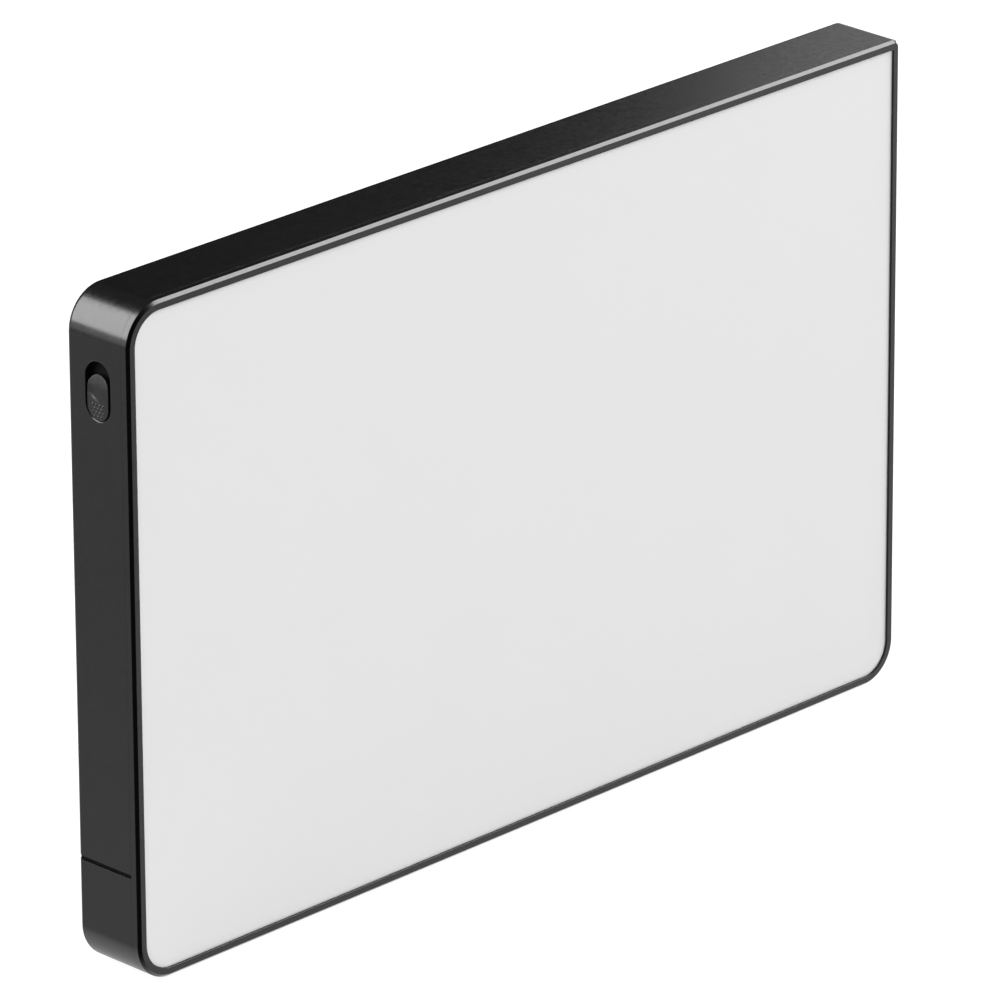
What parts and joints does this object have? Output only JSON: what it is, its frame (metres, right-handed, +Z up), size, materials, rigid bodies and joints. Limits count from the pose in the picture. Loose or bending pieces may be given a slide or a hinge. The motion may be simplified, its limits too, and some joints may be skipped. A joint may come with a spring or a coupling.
{
  "type": "led panel light",
  "caption": "Slim rectangular panel light: white diffuser across the front in a thin black frame, rounded corners, slide switch high on one side wall.",
  "frame": {"origin": "middle of the footprint, on the surface that the light stands on", "axes": "+X to the right of someone who faces the lit side, +Y from the lit front to the back, +Z up"},
  "size_m": [0.152, 0.012, 0.0985],
  "materials": {
    "frame_black": "satin black anodised, with a fine chamfer",
    "shell_black": "satin black anodised, fine blasted grain",
    "cover_black": "satin black moulding matched to the shell",
    "seal_rubber": "matte black",
    "opal_white": "matte opal white",
    "adhesive_white": "matte off-white tape",
    "film_white": "frosted white film",
    "reflector_white": "bright white",
    "led_board_white": "white solder mask on an aluminium core, pale yellow emitters",
    "bare_aluminium": "rolled sheet",
    "cell_pouch": "silver laminate pouch",
    "foam_black": "matte black foam tape",
    "circuit_green": "green solder mask, black chips",
    "plated_steel": "tin plated",
    "component_black": "matte black",
    "connector_white": "natural nylon",
    "nut_brass": "machined",
    "pipe_clear": "clear",
    "ribbon_amber": "amber film",
    "knob_black": "satin black moulding",
    "button_black": "satin black moulding",
    "screw_steel": "black oxide",
    "lead_red": "red insulation",
    "lead_black": "black insulation"
  },
  "bodies": {
    "housing": {"front_frame": "frame_black", "rear_shell": "shell_black", "lower_cover": "cover_black", "seam_seal": "seal_rubber", "screw_top_left": "screw_steel", "screw_top_right": "screw_steel", "screw_middle_left": "screw_steel", "screw_middle_right": "screw_steel", "screw_bottom_left": "screw_steel", "screw_bottom_right": "screw_steel", "diffuser_panel": "opal_white", "diffuser_adhesive": "adhesive_white", "diffusion_film": "film_white", "reflector_frame": "reflector_white", "led_board": "led_board_white", "heat_spreader": "bare_aluminium", "battery_cell_left": "cell_pouch", "battery_cell_right": "cell_pouch", "battery_pad_left": "foam_black", "battery_pad_right": "foam_black", "battery_protection_board": "circuit_green", "battery_lead_positive": "lead_red", "battery_lead_negative": "lead_black", "led_lead_positive": "lead_red", "led_lead_negative": "lead_black", "main_board": "circuit_green", "shield_can": "plated_steel", "power_inductor": "component_black", "battery_connector": "connector_white", "led_connector": "connector_white", "ribbon_connector": "component_black", "usb_c_port": "plated_steel", "tripod_nut": "nut_brass", "brightness_down_tact_switch": "plated_steel", "brightness_up_tact_switch": "plated_steel", "gauge_light_pipe": "pipe_clear", "slide_switch_body": "plated_steel", "switch_board": "circuit_green", "switch_ribbon": "ribbon_amber"},
    "switch_slider": {"switch_knob": "knob_black", "switch_actuator": "component_black"},
    "brightness_down": {"brightness_down_button": "button_black"},
    "brightness_up": {"brightness_up_button": "button_black"}
  },
  "joints": [
    {"name": "switch_slide", "type": "slide", "parent": "housing", "child": "switch_slider", "axis": [0, 0, 1], "range_m": [0, 0.002]},
    {"name": "brightness_down_press", "type": "slide", "parent": "housing", "child": "brightness_down", "axis": [0, -1, 0], "range_m": [0, 0.00025], "stiffness_N_per_m": 2000},
    {"name": "brightness_up_press", "type": "slide", "parent": "housing", "child": "brightness_up", "axis": [0, -1, 0], "range_m": [0, 0.00025], "stiffness_N_per_m": 2000}
  ]
}
